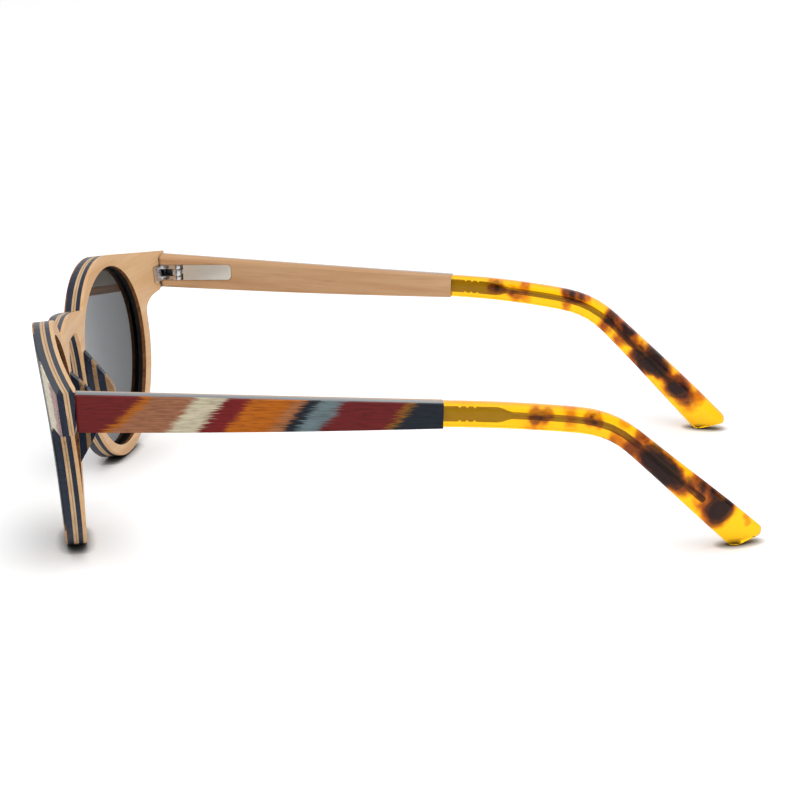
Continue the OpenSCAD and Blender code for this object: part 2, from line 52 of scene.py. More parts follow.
# left temple's own axes from its pivot: it leans in by the toe and falls by the drop
templeLook = {
    "toe": 5.8, "drop": 3.3,  # degrees
    "front": -3.8, "rear": 68.0, "frontHalf": 3.7, "rearHalf": 2.5,  # mm, along and up
    "inner": -1.2, "outer": 3.1,  # mm, across
    "cuts": 10, "spans": 12,  # slices across and along that the worn edges need
    "ridge": 1.0, "rise": 0.5, "fall": 0.5, "fade": 0.65,  # the worn top, which fades towards the rear
    "belly": 0.3,  # how far the bottom bows down
    "flat": 2.5, "leastEdge": 0.6,  # mm up the sides that stay flat, and the least left for an edge
    "seam": 0.9, "seamRun": 1.8,  # the top of the front end leans on, to lie along the front
}
pivot = Vector(joints["left_fold"]["pos_m"])
toe, drop = math.radians(templeLook["toe"]), math.radians(templeLook["drop"])
templeBack = Vector((-math.sin(toe), math.cos(toe) * math.cos(drop), -math.cos(toe) * math.sin(drop)))
templeUp = Vector((0.0, math.sin(drop), math.cos(drop)))
templeOut = templeBack.cross(templeUp)

# front's own frame: it leans forward at the top and wraps round a curve
frontLook = {
    "curve": 190.0, "lean": 4.85, "reach": 72.7,
    "eyeX": 31.5, "eyeZ": 24.6, "opening": 22.7,
    "seamFrom": 66.5,  # mm from the middle, where the hinge's end begins
    "backRound": 0.5, "backSteps": 3, "faceRound": 0.2, "faceSteps": 2,
    "flatFrom": 0.7, "wallTo": 0.6,  # how far a face looks along Y, and a wall at most
    "inwardFrom": 0.5, "endFrom": 0.7,  # how far a wall looks into its opening, or out at the end
}


def tone(red, green, blue):  # screen colour, 0 to 255, as the shader wants it, by the usual screen curve
    parts = [c / 255 for c in (red, green, blue)]
    return [p / 12.92 if p < 0.04 else ((p + 0.055) / 1.055) ** 2.4 for p in parts] + [1.0]


def toned(stops):
    return [(place, tone(*shade)) for place, shade in stops]


class Wire:
    def __init__(self, paint, socket):
        self.paint = paint
        self.socket = socket

    def calc(self, operation, first, second):
        return self.paint.add("ShaderNodeMath", {"operation": operation}, {0: first, 1: second})

    def __add__(self, other):
        return self.calc("ADD", self, other)

    def __radd__(self, other):
        return self.calc("ADD", other, self)

    def __sub__(self, other):
        return self.calc("SUBTRACT", self, other)

    def __rsub__(self, other):
        return self.calc("SUBTRACT", other, self)

    def __mul__(self, other):
        return self.calc("MULTIPLY", self, other)

    def __rmul__(self, other):
        return self.calc("MULTIPLY", other, self)

    def atLeast(self, other):
        return self.calc("MAXIMUM", self, other)

    def atMost(self, other):
        return self.calc("MINIMUM", self, other)

    def within(self, most=1.0):
        return self.atLeast(0.0).atMost(most)


class Paint:
    def __init__(self, holder):
        holder.use_nodes = True
        self.holder = holder
        self.tree = holder.node_tree
        self.tree.nodes.clear()

    def add(self, kind, settings, values, output=0):
        node = self.tree.nodes.new(kind)
        for key, value in settings.items():
            if key == "stops":
                self.setStops(node.color_ramp, value)
            else:
                setattr(node, key, value)
        for key, value in values.items():
            if isinstance(value, Wire):
                self.tree.links.new(value.socket, node.inputs[key])
            else:
                node.inputs[key].default_value = value
        return Wire(self, node.outputs[output]) if node.outputs else node

    def setStops(self, ramp, stops):
        while len(ramp.elements) < len(stops):
            ramp.elements.new(middle)
        for element, (place, colour) in zip(ramp.elements, stops):
            element.position = place
            element.color = colour

    def place(self):
        return self.add("ShaderNodeTexCoord", {}, {}, "Object")

    def along(self, point, direction):  # millimetres from the left pivot along a direction
        shifted = self.add("ShaderNodeVectorMath", {"operation": "SUBTRACT"}, {0: point, 1: pivot})
        values = {0: shifted, 1: [part / mm for part in direction]}
        return self.add("ShaderNodeVectorMath", {"operation": "DOT_PRODUCT"}, values, "Value")

    def mirrored(self, point):
        size = self.add("ShaderNodeVectorMath", {"operation": "ABSOLUTE"}, {0: point})
        return self.pack(self.split(size, "X"), self.split(point, "Y"), self.split(point, "Z"))

    def depth(self, point):  # millimetres behind the front's curved face
        look = frontLook
        lean = math.radians(look["lean"])
        level = self.split(point, "Y") * (math.cos(lean) / mm)
        back = level + self.split(point, "Z") * (math.sin(lean) / mm)
        away = look["curve"] - look["reach"] * math.cos(lean) - back
        flat = self.pack(self.split(point, "X") * (1 / mm), away, 0.0)
        return look["curve"] - self.length(flat)

    def length(self, vector):
        return self.add("ShaderNodeVectorMath", {"operation": "LENGTH"}, {0: vector}, "Value")

    def pack(self, x, y, z):
        return self.add("ShaderNodeCombineXYZ", {}, {0: x, 1: y, 2: z})

    def split(self, point, axis):
        return self.add("ShaderNodeSeparateXYZ", {}, {0: point}, axis)

    def noise(self, vector, scale, detail, roughness=0.55):
        settings = {"noise_dimensions": "3D"}
        values = {"Vector": vector, "Scale": scale, "Detail": detail, "Roughness": roughness}
        return self.add("ShaderNodeTexNoise", settings, values, "Fac")

    def figure(self, spot, pace, detail, roughness):  # pace: how fast it changes along, up and in, per mm
        parts = [part * rate for part, rate in zip(spot, pace)]
        return self.noise(self.pack(*parts), 1.0, detail, roughness)

    def ramp(self, factor, stops):
        return self.add("ShaderNodeValToRGB", {"stops": stops}, {"Fac": factor}, "Color")

    def mix(self, factor, first, second, way="MIX"):
        colourA, colourB, colourOut = 6, 7, 2  # the node's sockets for colours share their names with others
        settings = {"data_type": "RGBA", "blend_type": way, "clamp_factor": True}
        values = {"Factor": factor, colourA: first, colourB: second}
        return self.add("ShaderNodeMix", settings, values, colourOut)

    def bump(self, height, strength, distance):
        values = {"Height": height, "Strength": strength, "Distance": distance}
        return self.add("ShaderNodeBump", {}, values)

    def principled(self, **values):
        named = {key.replace("_", " "): value for key, value in values.items()}
        return self.add("ShaderNodeBsdfPrincipled", {}, named)

    def surface(self, **values):
        self.add("ShaderNodeOutputMaterial", {}, {"Surface": self.principled(**values)})
        return self.holder


def paintFor(name):
    return Paint(bpy.data.materials.new(name))


stripeLook = {
    "start": -8.0,  # mm along the temple from the pivot
    "end": 76.0,
    "soft": 0.35,
    "slant": 0.8,
    "frontSlant": 0.35,  # more slant near the front, over the run
    "frontRun": 18.0,
    "bands": [  # where each band ends, and its colour
        (5.3, (124, 34, 34)), (7.2, (196, 110, 18)), (16.6, (174, 116, 84)), (22.4, (226, 217, 188)),
        (27.6, (134, 30, 32)), (36.2, (206, 112, 14)), (38.4, (186, 120, 74)), (41.3, (32, 40, 50)),
        (46.0, (118, 138, 144)), (59.0, (124, 34, 36)), (60.3, (164, 110, 26)), (90.0, (36, 44, 56)),
    ],
}

# on the front the bands run out from the nose and end in cream and pink over the end pieces
frontStripes = {
    "start": 0.0,
    "end": 76.0,
    "soft": 0.5,
    "slant": -0.25,
    "frontSlant": 0.0,
    "frontRun": 18.0,
    "bands": [
        (7.0, (110, 38, 40)), (13.0, (112, 131, 136)), (16.0, (40, 48, 56)), (22.0, (176, 117, 78)),
        (30.0, (118, 33, 38)), (34.0, (196, 120, 40)), (44.0, (226, 166, 112)), (58.0, (34, 42, 52)),
        (67.5, (250, 240, 212)), (90.0, (190, 154, 150)),
    ],
}

veneerFigure = {
    "ragged": {"pace": (0.16, 6.5, 0.0), "detail": 4.0, "roughness": 0.65},
    "wander": {"pace": (0.12, 1.1, 3.0), "detail": 2.0, "roughness": 0.55},
    "grain": {"pace": (0.1, 9.0, 7.0), "detail": 5.0, "roughness": 0.7},
    "patch": {"pace": (0.3, 2.4, 5.0), "detail": 3.0, "roughness": 0.6},
    "pores": {"pace": (0.45, 14.0, 11.0), "detail": 2.0, "roughness": 0.55},
    "raggedBy": 9.0, "wanderBy": 1.5,  # mm by which they shift the edges of the bands
    "shades": [(0.3, (150, 142, 138)), (0.5, (246, 245, 244)), (0.75, (255, 255, 255))], "shadeShare": 0.85,
    "tints": [(0.3, (196, 190, 186)), (0.5, (240, 238, 236)), (0.7, (255, 255, 255))], "tintShare": 0.9,
    "pore": (52, 30, 26), "poreFrom": 0.66, "poreSharp": 6.0, "poreMost": 0.5,
    "bump": 0.25, "bumpDepth": 0.00008, "rough": 0.36, "roughSpan": 0.14, "gloss": 0.2,
}


def bandStops(look):
    reach = look["end"] - look["start"]
    stops = []
    edge = look["start"]
    for last, colour in look["bands"]:
        for spot in (edge + look["soft"], last - look["soft"]):
            stops.append((min(1.0, (spot - look["start"]) / reach), tone(*colour)))
        edge = last
    return stops


def stripedVeneer(name, look, along, across):
    paint = paintFor(name)
    wood = veneerFigure
    point = paint.place()
    run, rise = along(paint, point), across(paint, point)
    kinds = ("ragged", "wander", "grain", "patch", "pores")
    ragged, wander, grain, patch, pores = [paint.figure((run, rise, 1.0), **wood[kind]) for kind in kinds]
    lean = look["slant"] + look["frontSlant"] * (1.0 - run * (1.0 / look["frontRun"])).atLeast(0.0)
    where = run - lean * rise + (ragged - middle) * wood["raggedBy"] + (wander - middle) * wood["wanderBy"]
    reach = look["end"] - look["start"]
    colour = paint.ramp((where - look["start"]) * (1.0 / reach), bandStops(look))
    colour = paint.mix(wood["shadeShare"], colour, paint.ramp(grain, toned(wood["shades"])), "MULTIPLY")
    colour = paint.mix(wood["tintShare"], colour, paint.ramp(patch, toned(wood["tints"])), "MULTIPLY")
    holes = ((pores - wood["poreFrom"]) * wood["poreSharp"]).within(wood["poreMost"])
    colour = paint.mix(holes, colour, tone(*wood["pore"]))
    bump = paint.bump(grain, wood["bump"], wood["bumpDepth"])
    rough = wood["rough"] + grain * wood["roughSpan"]
    return paint.surface(Base_Color=colour, Roughness=rough, Normal=bump, Specular_IOR_Level=wood["gloss"])


def templeRun(paint, point):
    return paint.along(paint.mirrored(point), templeBack)


def templeRise(paint, point):
    return paint.along(paint.mirrored(point), templeUp)


def templeDepth(paint, point):
    return paint.along(paint.mirrored(point), templeOut)


def frontRun(paint, point):
    return paint.split(paint.mirrored(point), "X") * (1 / mm)


def frontRise(paint, point):
    return paint.split(point, "Z") * (1 / mm) - frontLook["eyeZ"]


templeWay = (templeRun, templeRise, templeDepth)
frontWay = (frontRun, frontRise, Paint.depth)

mapleLook = {
    "pale": (238, 198, 152), "warm": (226, 176, 124), "line": (188, 132, 82),
    "seam": (92, 66, 44), "seamAt": 2.15, "seamHalf": 0.12,  # glue line in the core ply, mm behind the face
}
templeMapleLook = {
    "pale": (218, 176, 134), "warm": (200, 152, 108), "line": (166, 114, 74),
    "end": (62, 42, 28), "endRun": 0.7,  # dark line where the wood ends at the front, mm
}
# a little darker than the face maple: darker end grain, and painted shade on the ply's edges
coreMapleLook = dict(mapleLook, pale=(222, 188, 148), warm=(206, 166, 122))
# painted shade: the pads' maple in darker tones throughout
shadedPadMapleLook = {"pale": (170, 134, 96), "warm": (148, 112, 76), "line": (116, 80, 50)}
mapleFigure = {
    "broad": {"pace": (0.03, 0.45, 0.8), "detail": 3.0, "roughness": 0.55},
    "fine": {"pace": (0.12, 3.5, 6.0), "detail": 5.0, "roughness": 0.65},
    "warmTo": 0.3, "paleFrom": 0.7, "lineFrom": 0.56, "lineSharp": 3.0, "lineMost": 0.55, "seamShare": 0.8,
    "bump": 0.2, "bumpDepth": 0.00006, "rough": 0.38, "roughSpan": 0.14, "gloss": 0.25,
}


def mapleWood(name, look, way):
    paint = paintFor(name)
    wood = mapleFigure
    point = paint.place()
    run, rise, depth = [measure(paint, point) for measure in way]
    broad, fine = [paint.figure((run, rise, depth), **wood[kind]) for kind in ("broad", "fine")]
    colour = paint.ramp(broad, toned([(wood["warmTo"], look["warm"]), (wood["paleFrom"], look["pale"])]))
    lines = ((fine - wood["lineFrom"]) * wood["lineSharp"]).within(wood["lineMost"])
    colour = paint.mix(lines, colour, tone(*look["line"]))
    if "seam" in look:
        off = depth - look["seamAt"]
        away = paint.add("ShaderNodeMath", {"operation": "ABSOLUTE"}, {0: off})
        inside = (1.0 - away * (1.0 / look["seamHalf"])).atLeast(0.0)
        colour = paint.mix(inside * wood["seamShare"], colour, tone(*look["seam"]))
    if "end" in look:
        half = templeLook["frontHalf"]
        lead = (rise + half) * (templeLook["seam"] / (2.0 * half))
        behind = run - templeLook["front"] + lead
        close = (1.0 - behind * (1.0 / look["endRun"])).atLeast(0.0)
        colour = paint.mix(close, colour, tone(*look["end"]))
    bump = paint.bump(fine, wood["bump"], wood["bumpDepth"])
    rough = wood["rough"] + fine * wood["roughSpan"]
    return paint.surface(Base_Color=colour, Roughness=rough, Normal=bump, Specular_IOR_Level=wood["gloss"])


navyLook = {"deep": (16, 26, 42), "lift": (40, 54, 76), "gloss": 0.3, "rough": 0.3, "lacquer": 0.0}
templeNavyLook = {"deep": (24, 33, 46), "lift": (52, 64, 80), "gloss": 0.8, "rough": 0.16, "lacquer": 1.0}
navyFigure = {
    "fine": {"pace": (0.14, 3.0, 5.0), "detail": 5.0, "roughness": 0.65},
    "deepTo": 0.35, "liftFrom": 0.72, "bump": 0.2, "bumpDepth": 0.00006, "roughSpan": 0.14,
    "lacquerBend": 2.0, "lacquerRough": 0.2,
}


def navyWood(name, look, way):
    paint = paintFor(name)
    wood = navyFigure
    point = paint.place()
    fine = paint.figure([measure(paint, point) for measure in way], **wood["fine"])
    colour = paint.ramp(fine, toned([(wood["deepTo"], look["deep"]), (wood["liftFrom"], look["lift"])]))
    bump = paint.bump(fine, wood["bump"], wood["bumpDepth"])
    rough = look["rough"] + fine * wood["roughSpan"]
    return paint.surface(
        Base_Color=colour, Roughness=rough, Normal=bump, Specular_IOR_Level=look["gloss"],
        Coat_Weight=look["lacquer"], Coat_IOR=wood["lacquerBend"], Coat_Roughness=wood["lacquerRough"],
    )


# painted shade: near black for walls in the openings and ends in the seams, dark brown for the back maple's walls
# in the openings
paintedShadeBlackLook = {"deep": (9, 9, 10), "lift": (26, 22, 20)}
paintedShadeBrownLook = {"deep": (96, 58, 30), "lift": (150, 96, 54)}
wallFigure = {
    "scale": 900.0, "detail": 3.0, "deepTo": 0.35, "liftFrom": 0.7,
    "rough": 0.45, "roughSpan": 0.2, "gloss": 0.2,
}


# a wall finish of painted shade, speckled a little
def paintedShadeWall(name, look):
    paint = paintFor(name)
    wood = wallFigure
    fine = paint.noise(paint.place(), wood["scale"], wood["detail"])
    colour = paint.ramp(fine, toned([(wood["deepTo"], look["deep"]), (wood["liftFrom"], look["lift"])]))
    rough = wood["rough"] + fine * wood["roughSpan"]
    return paint.surface(Base_Color=colour, Roughness=rough, Specular_IOR_Level=wood["gloss"])


metalLook = {"base": (222, 222, 224), "rough": 0.14, "metal": 1.0}
plateLook = {"base": (240, 234, 222), "rough": 0.42, "metal": 0.5}  # matt plated cover
steelLook = {"base": (168, 158, 142), "rough": 0.45, "metal": 1.0}
brushed = {
    "fine": {"pace": (0.3, 9.0, 0.0), "detail": 3.0, "roughness": 0.55},
    "darker": 14, "darkTo": 0.3, "fullFrom": 0.7, "roughSpan": 0.12,
}


def hingeMetal(name, look):
    paint = paintFor(name)
    point = paint.place()
    fine = paint.figure((templeRun(paint, point), templeRise(paint, point), 1.0), **brushed["fine"])
    dark = [c - brushed["darker"] for c in look["base"]]
    colour = paint.ramp(fine, toned([(brushed["darkTo"], dark), (brushed["fullFrom"], look["base"])]))
    rough = look["rough"] + fine * brushed["roughSpan"]
    return paint.surface(Base_Color=colour, Metallic=look["metal"], Roughness=rough)


acetateLook = {
    "stops": [
        (0.0, (255, 200, 18)), (0.14, (250, 182, 14)), (0.3, (222, 124, 10)),
        (0.5, (142, 66, 18)), (0.8, (40, 22, 20)),
    ],
    "mottle": 0.62,
    "mottleScale": 210.0,
    "stir": 0.0022,
    "stirScale": 260.0,
    "detail": 2.0,
    "sharp": 2.0,
    "rim": (222, 138, 22),
    "polish": 0.02,
    "bend": 1.04,
    "coat": 0.4,
    "coatRough": 0.04,
    "left": [  # along Y, up Z, size across, all mm, and depth of the dye
        (30.0, 31.6, 1.7, 0.5), (32.4, 31.4, 1.7, 0.5), (31.2, 30.0, 2.2, 0.22), (28.8, 29.0, 1.7, 0.2),
        (37.2, 32.2, 2.2, 0.2), (37.2, 29.6, 2.2, 0.22), (40.8, 30.2, 1.6, 0.45), (42.5, 29.6, 1.6, 0.4),
        (46.2, 25.6, 2.2, 0.42), (49.0, 23.2, 2.6, 0.55), (51.7, 25.8, 2.4, 0.55), (53.0, 21.2, 3.2, 0.8),
        (55.0, 18.8, 3.6, 0.95), (57.0, 16.4, 3.4, 0.9), (59.6, 13.8, 2.4, 0.5), (63.0, 14.0, 2.8, 0.46),
        (64.8, 12.2, 2.6, 0.46), (66.7, 12.2, 2.0, 0.4), (66.6, 7.6, 3.8, 0.9), (68.6, 8.6, 2.8, 0.6),
        (63.2, 9.6, 1.6, 0.32), (62.0, 11.4, 1.2, 0.2), (73.1, 4.8, 1.3, 0.36), (48.0, 29.0, 1.6, 0.2),
    ],
    "right": [
        (21.7, 33.0, 1.8, 0.5), (23.4, 32.6, 1.8, 0.45), (27.3, 31.2, 2.0, 0.32), (29.7, 33.2, 1.8, 0.32),
        (29.9, 30.9, 1.8, 0.28), (25.6, 32.0, 1.6, 0.24), (39.8, 31.6, 2.2, 0.55), (41.9, 30.9, 2.0, 0.5),
        (39.5, 28.7, 1.8, 0.4), (44.1, 30.5, 2.0, 0.32), (48.8, 24.0, 2.3, 0.5), (50.2, 26.0, 2.4, 0.65),
        (52.3, 23.6, 2.0, 0.55), (54.2, 23.2, 2.0, 0.5), (52.0, 20.7, 2.0, 0.45), (54.7, 21.3, 2.2, 0.55),
        (56.5, 18.9, 2.0, 0.5), (56.0, 16.7, 2.6, 0.65), (60.0, 17.3, 2.8, 0.75), (60.4, 14.7, 3.0, 0.75),
        (58.0, 14.5, 2.8, 0.65), (62.0, 13.2, 2.6, 0.65), (65.4, 10.3, 3.2, 0.65), (63.7, 9.2, 2.4, 0.5),
        (66.7, 7.8, 2.8, 0.6), (70.4, 7.4, 2.2, 0.35), (68.0, 5.4, 2.4, 0.2),
    ],
}


def tortoise(name, look, spots):
    paint = paintFor(name)
    point = paint.place()
    swirl = {"Vector": point, "Scale": look["stirScale"], "Detail": look["detail"]}
    stir = paint.add("ShaderNodeTexNoise", {}, swirl, "Color")
    shift = {0: stir, 1: (look["stir"],) * 3, 2: point}
    moved = paint.add("ShaderNodeVectorMath", {"operation": "MULTIPLY_ADD"}, shift)
    sideways = {0: moved, 1: (0.0, 1 / mm, 1 / mm)}
    flat = paint.add("ShaderNodeVectorMath", {"operation": "MULTIPLY"}, sideways)
    drift = look["stir"] / mm / 2
    dye = (paint.noise(point, look["mottleScale"], look["detail"]) - middle) * look["mottle"]
    for along, up, size, depth in spots:
        centre = (0.0, along + drift, up + drift)
        gap = paint.add("ShaderNodeVectorMath", {"operation": "DISTANCE"}, {0: flat, 1: centre}, "Value")
        dye = dye + ((1.0 - gap * (1.0 / size)) * look["sharp"]).within() * depth
    colour = paint.ramp(dye, toned(look["stops"]))
    rim = paint.add("ShaderNodeAttribute", {"attribute_name": "rim"}, {}, "Fac")
    colour = paint.mix(rim, colour, paint.mix(1.0, colour, tone(*look["rim"]), "MULTIPLY"))
    return paint.surface(
        Base_Color=colour, Roughness=look["polish"], IOR=look["bend"], Transmission_Weight=1.0,
        Coat_Weight=look["coat"], Coat_Roughness=look["coatRough"],
    )


lensLook = {
    # smoke tint with a painted reflection, lighter towards the nose and darker towards the temple
    "across": [(0.1, (68, 74, 82)), (0.5, (42, 47, 54)), (0.95, (20, 24, 30))],  # nose to temple
    # painted dark reflection along the top; the same dark also paints the groove's shade
    "near": 8.0, "far": 54.0, "brow": (24, 24, 26), "browFrom": 39.0, "browRun": 3.0,
    "shadeRingShift": 1.0, "shadeRingFrom": 20.6, "shadeRingRun": 0.4,  # painted shade: the dark ring in the groove
    "polish": 0.02, "bend": 1.5,
}


def smokeLens(name, look):
    paint = paintFor(name)
    point = paint.place()
    # smoke tint with a painted reflection, lighter towards the nose
    out = (frontRun(paint, point) - look["near"]) * (1.0 / (look["far"] - look["near"]))
    colour = paint.ramp(out, toned(look["across"]))
    # painted dark reflection along the top of the lens
    paintedTopDark = (paint.split(point, "Z") * (1 / mm) - look["browFrom"]) * (1.0 / look["browRun"])
    colour = paint.mix(paintedTopDark.within(), colour, tone(*look["brow"]))
    glass = paint.principled(
        Base_Color=colour, Roughness=look["polish"], IOR=look["bend"], Transmission_Weight=1.0,
    )
    # painted shade: a matte dark ring where the lens sits in the groove
    across = frontRun(paint, point) - (frontLook["eyeX"] + look["shadeRingShift"])
    reach = paint.length(paint.pack(across, frontRise(paint, point), 0.0))
    edge = ((reach - look["shadeRingFrom"]) * (1.0 / look["shadeRingRun"])).within()
    paintedGrooveShade = paint.add("ShaderNodeBsdfDiffuse", {}, {"Color": tone(*look["brow"])})
    both = paint.add("ShaderNodeMixShader", {}, {0: edge, 1: glass, 2: paintedGrooveShade})
    paint.add("ShaderNodeOutputMaterial", {}, {"Surface": both})
    return paint.holder


finishes = {
    "templeVeneer": stripedVeneer("templeVeneer", stripeLook, templeRun, templeRise),
    "frontVeneer": stripedVeneer("frontVeneer", frontStripes, frontRun, frontRise),
    "templeMaple": mapleWood("templeMaple", templeMapleLook, templeWay),
    "frontMaple": mapleWood("frontMaple", mapleLook, frontWay),
    "coreMaple": mapleWood("coreMaple", coreMapleLook, frontWay),
    "padMapleShaded": mapleWood("padMapleShaded", shadedPadMapleLook, frontWay),
    "templeNavy": navyWood("templeNavy", templeNavyLook, templeWay),
    "frontNavy": navyWood("frontNavy", navyLook, frontWay),
    "paintedShadeBlack": paintedShadeWall("paintedShadeBlack", paintedShadeBlackLook),
    "paintedShadeBrown": paintedShadeWall("paintedShadeBrown", paintedShadeBrownLook),
    "hingePlate": hingeMetal("hingePlate", plateLook),
    "hingeMetal": hingeMetal("hingeMetal", metalLook),
    "wireSteel": hingeMetal("wireSteel", steelLook),
    "tortoiseLeft": tortoise("tortoiseLeft", acetateLook, acetateLook["left"]),
    "tortoiseRight": tortoise("tortoiseRight", acetateLook, acetateLook["right"]),
    "smokeLens": smokeLens("smokeLens", lensLook),
}
print("made", len(finishes), "finishes")


def finishOf(node):
    kind = slotOf[node]
    onTemple = bodyOf[node].endswith("arm")
    if kind == "striped_veneer":
        return finishes["templeVeneer" if onTemple else "frontVeneer"]
    if "_pad_" in node and kind == "maple":
        return finishes["padMapleShaded"]
    if node == "core_maple_ply":
        return finishes["coreMaple"]
    if node.endswith("housing"):
        return finishes["hingePlate"]
    if kind == "maple":
        return finishes["templeMaple" if onTemple else "frontMaple"]
    if kind == "navy_wood":
        return finishes["templeNavy" if onTemple else "frontNavy"]
    if kind == "acetate":
        return finishes["tortoiseLeft" if node.startswith("left") else "tortoiseRight"]
    if kind == "smoke_lens":
        return finishes["smokeLens"]
    return finishes["wireSteel" if kind == "spring_steel" else "hingeMetal"]


for node, shape in nodes.items():
    shape.data.materials.clear()
    shape.data.materials.append(finishOf(node))

gaps = {"merge": 0.002, "speck": 0.0005, "cut": 0.001}  # mm, points closer than this are one
smoothWood, smoothRound = 32.0, 50.0  # degrees, up to which a piece is shaded smooth


def copyOf(node):
    mesh = bmesh.new()
    mesh.from_mesh(nodes[node].data)
    bmesh.ops.remove_doubles(mesh, verts=mesh.verts, dist=gaps["merge"] * mm)
    bmesh.ops.recalc_face_normals(mesh, faces=mesh.faces)
    return mesh


def cornerEdges(mesh, degrees):  # edges where the surface turns by more than this
    least = math.radians(degrees)
    return [e for e in mesh.edges if len(e.link_faces) == 2 and e.calc_face_angle(0.0) > least]


def soften(mesh, edges, width, steps):
    bmesh.ops.bevel(
        mesh, geom=edges, offset=width * mm, offset_type="OFFSET", affect="EDGES",
        segments=steps, profile=0.5, material=-1, clamp_overlap=True, loop_slide=True,
    )
    bmesh.ops.remove_doubles(mesh, verts=mesh.verts, dist=gaps["speck"] * mm)
    bmesh.ops.dissolve_degenerate(mesh, dist=gaps["speck"] * mm, edges=mesh.edges)


def dress(node, mesh, smoothTo=smoothWood):
    data = bpy.data.meshes.new(node + ".dressed")
    mesh.to_mesh(data)
    mesh.free()
    data.shade_smooth()
    data.set_sharp_from_angle(angle=math.radians(smoothTo))
    data.materials.append(finishOf(node))
    piece = bpy.data.objects.new(node + ".dressed", data)
    bpy.context.scene.collection.objects.link(piece)
    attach(piece, bodyOf[node])
    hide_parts(node)
    return piece


def facing(edge, way, look):  # an edge between a face that looks along Y and a wall, clear of the hinge
    looks = [face.normal.y * way for face in edge.link_faces]
    clear = max(abs(vert.co.x) for vert in edge.verts) < look["seamFrom"] * mm
    return clear and len(looks) == 2 and max(looks) > look["flatFrom"] and min(looks) < look["wallTo"]


def markWalls(mesh, look):  # walls of the openings take the second finish, the ends at the hinges the third
    for face in mesh.faces:
        centre = face.calc_center_median() / mm
        inward = Vector((math.copysign(look["eyeX"], centre.x) - centre.x, look["eyeZ"] - centre.z))
        towards = inward.normalized().dot(Vector((face.normal.x, face.normal.z)))
        if inward.length < look["opening"] and towards > look["inwardFrom"]:
            face.material_index = 1
        if abs(centre.x) > look["seamFrom"] and abs(face.normal.x) > look["endFrom"]:
            face.material_index = 2


# plies of the front: the back one is rubbed round; the openings' walls take painted shade behind the lens, and so
# do the back ply's ends at the hinges
wallFinishes = {
    "inner_navy_ply": ("paintedShadeBlack", "frontNavy"),
    "back_maple_ply": ("paintedShadeBrown", "paintedShadeBlack"),
}
for node in ("face_veneer", "outer_navy_ply", "core_maple_ply", "inner_navy_ply", "back_maple_ply"):
    mesh = copyOf(node)
    if node in wallFinishes:
        markWalls(mesh, frontLook)
    if node == "back_maple_ply":
        edges = [edge for edge in mesh.edges if facing(edge, 1, frontLook)]
        soften(mesh, edges, frontLook["backRound"], frontLook["backSteps"])
    if node == "face_veneer":
        edges = [edge for edge in mesh.edges if facing(edge, -1, frontLook)]
        soften(mesh, edges, frontLook["faceRound"], frontLook["faceSteps"])
    piece = dress(node, mesh)
    for finish in wallFinishes.get(node, ()):
        piece.data.materials.append(finishes[finish])
print("front plies dressed")


def templeSpot(point):  # out, back and up of the temple, in mm, the same on both sides
    away = Vector((abs(point.x), point.y, point.z)) - pivot
    return away.dot(templeOut) / mm, away.dot(templeBack) / mm, away.dot(templeUp) / mm


def held(value):
    return max(0.0, min(1.0, value))


def onSide(vector, side):
    return Vector((vector.x * side, vector.y, vector.z))


def cutAlong(mesh, start, way, first, length, count):
    for step in range(1, count):
        spot = start + way * (first + length * step / count) * mm
        geometry = mesh.verts[:] + mesh.edges[:] + mesh.faces[:]
        bmesh.ops.bisect_plane(mesh, geom=geometry, dist=gaps["cut"] * mm, plane_co=spot, plane_no=way)


def wornEdge(look, out, up, part):  # how far a point on the temple's top or bottom edge moves up, in mm
    along = held(part)
    if up < 0.0:
        return -look["belly"] * math.sin(math.pi * along)
    rise, fall = (look[key] * (1.0 - look["fade"] * along) for key in ("rise", "fall"))
    if out > look["ridge"]:
        return rise * (1.0 - ((out - look["ridge"]) / (look["outer"] - look["ridge"])) ** 2)
    return rise - (rise + fall) * ((look["ridge"] - out) / (look["ridge"] - look["inner"])) ** 2


def crown(mesh, look):  # round the temple's top across its thickness, and bow its bottom along its length
    width, length = look["outer"] - look["inner"], look["rear"] - look["front"]
    side = 1.0 if sum(vert.co.x for vert in mesh.verts) > 0.0 else -1.0
    start = onSide(pivot, side)
    cutAlong(mesh, start, onSide(templeOut, side), look["inner"], width, look["cuts"])
    cutAlong(mesh, start, onSide(templeBack, side), look["front"], length, look["spans"])
    for vert in mesh.verts:
        out, back, up = templeSpot(vert.co)
        part = (back - look["front"]) / length
        half = look["frontHalf"] + (look["rearHalf"] - look["frontHalf"]) * part
        flat = min(look["flat"], half - look["leastEdge"])
        vert.co += templeUp * wornEdge(look, out, up, part) * held((abs(up) - flat) / (half - flat)) * mm
        ahead = held((look["front"] + look["seamRun"] - back) / look["seamRun"])
        lead = templeBack * look["seam"] * ahead * (up + half) / (2.0 * half) * mm
        vert.co -= onSide(lead, side)


# a tip shows its outside alone, and is deeper in colour where the acetate is thick to look through
tipLook = {"wireReach": 0.6, "rimMost": 0.7, "rimSharp": 2.2}


def skinOf(node, wire, look):  # the outside, closed where it meets the wood
    mesh = copyOf(node)
    core = copyOf(wire)
    coreTree = BVHTree.FromBMesh(core)
    reach = look["wireReach"] * mm
    channel = [vert for vert in mesh.verts if coreTree.find_nearest(vert.co)[3] < reach]
    core.free()
    bmesh.ops.delete(mesh, geom=channel, context="VERTS")
    rim = [edge for edge in mesh.edges if len(edge.link_faces) == 1]
    bmesh.ops.holes_fill(mesh, edges=rim, sides=0)
    bmesh.ops.recalc_face_normals(mesh, faces=mesh.faces)
    return mesh


